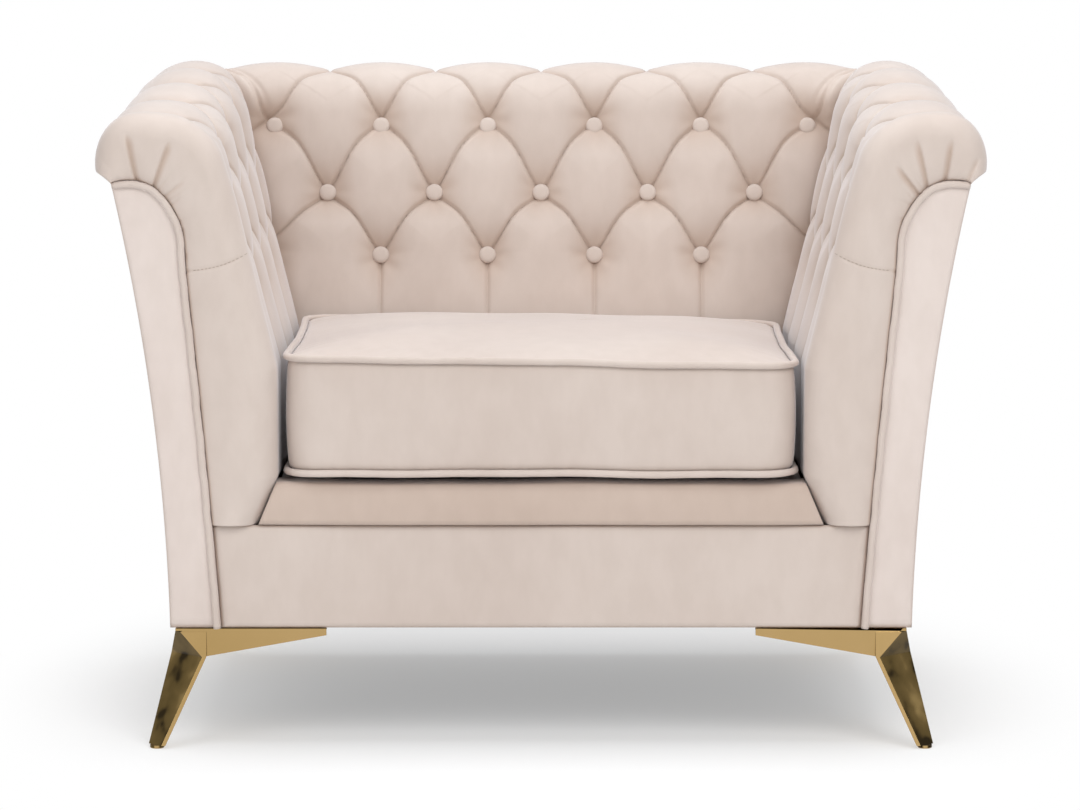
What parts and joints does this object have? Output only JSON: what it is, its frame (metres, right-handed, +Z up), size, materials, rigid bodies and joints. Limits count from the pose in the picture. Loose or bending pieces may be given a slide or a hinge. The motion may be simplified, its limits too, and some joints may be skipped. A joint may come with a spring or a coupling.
{
  "type": "chesterfield armchair",
  "caption": "Chesterfield armchair with rolled arms and back at one height, diamond buttoning, loose piped seat cushion and splayed gold corner legs.",
  "frame": {"origin": "under the middle of the chair, at the floor", "axes": "+X along the seat to the arm at the viewer's right, the front faces -Y, +Z up"},
  "size_m": [1.1, 0.8, 0.808],
  "materials": {
    "velvet": "cream velvet with a soft sheen",
    "gold_metal": "polished gold plate",
    "frame_wood": "planed, unfinished",
    "lining_cloth": "stretched coarse cloth",
    "foam_cloth": "foam wrapped in cloth",
    "dust_cloth": "thin black cloth",
    "zip_tape": "woven tape with coil teeth",
    "steel": "bright drawn wire and plated steel"
  },
  "bodies": {
    "chair": {"back_base_board": "frame_wood", "back_buttons": "velvet", "back_lining": "lining_cloth", "back_pad": "velvet", "back_top_rail": "frame_wood", "deck_pad": "foam_cloth", "dust_cover": "dust_cloth", "front_left_corner_block": "frame_wood", "front_left_leg": "gold_metal", "front_panel": "velvet", "front_right_corner_block": "frame_wood", "front_right_leg": "gold_metal", "front_seat_rail": "frame_wood", "left_arm_buttons": "velvet", "left_arm_lining": "lining_cloth", "left_arm_pad": "velvet", "left_arm_top_rail": "frame_wood", "left_base_board": "frame_wood", "left_facing_board": "frame_wood", "left_facing_cover": "velvet", "left_facing_piping": "velvet", "left_front_post": "frame_wood", "left_outside_cover": "velvet", "left_rear_post": "frame_wood", "left_seat_rail": "frame_wood", "leg_glides": "gold_metal", "leg_screws": "steel", "outside_back_cover": "velvet", "rear_left_corner_block": "frame_wood", "rear_left_leg": "gold_metal", "rear_right_corner_block": "frame_wood", "rear_right_leg": "gold_metal", "rear_seat_rail": "frame_wood", "right_arm_buttons": "velvet", "right_arm_lining": "lining_cloth", "right_arm_pad": "velvet", "right_arm_top_rail": "frame_wood", "right_base_board": "frame_wood", "right_facing_board": "frame_wood", "right_facing_cover": "velvet", "right_facing_piping": "velvet", "right_front_post": "frame_wood", "right_outside_cover": "velvet", "right_rear_post": "frame_wood", "right_seat_rail": "frame_wood", "seat_border": "velvet", "seat_springs": "steel", "spring_clips": "steel"},
    "seat_cushion": {"cushion_bottom_panel": "velvet", "cushion_boxing": "velvet", "cushion_core": "foam_cloth", "cushion_low_piping": "velvet", "cushion_top_panel": "velvet", "cushion_top_piping": "velvet", "cushion_zip": "zip_tape"},
    "zip_slider": {"zip_slider": "steel"}
  },
  "joints": [
    {"name": "cushion_lift", "type": "slide", "parent": "chair", "child": "seat_cushion", "axis": [0, 0, 1], "range_m": [0, 0.5]},
    {"name": "zip_pull", "type": "slide", "parent": "seat_cushion", "child": "zip_slider", "axis": [1, 0, 0], "range_m": [0, 0.37]}
  ]
}
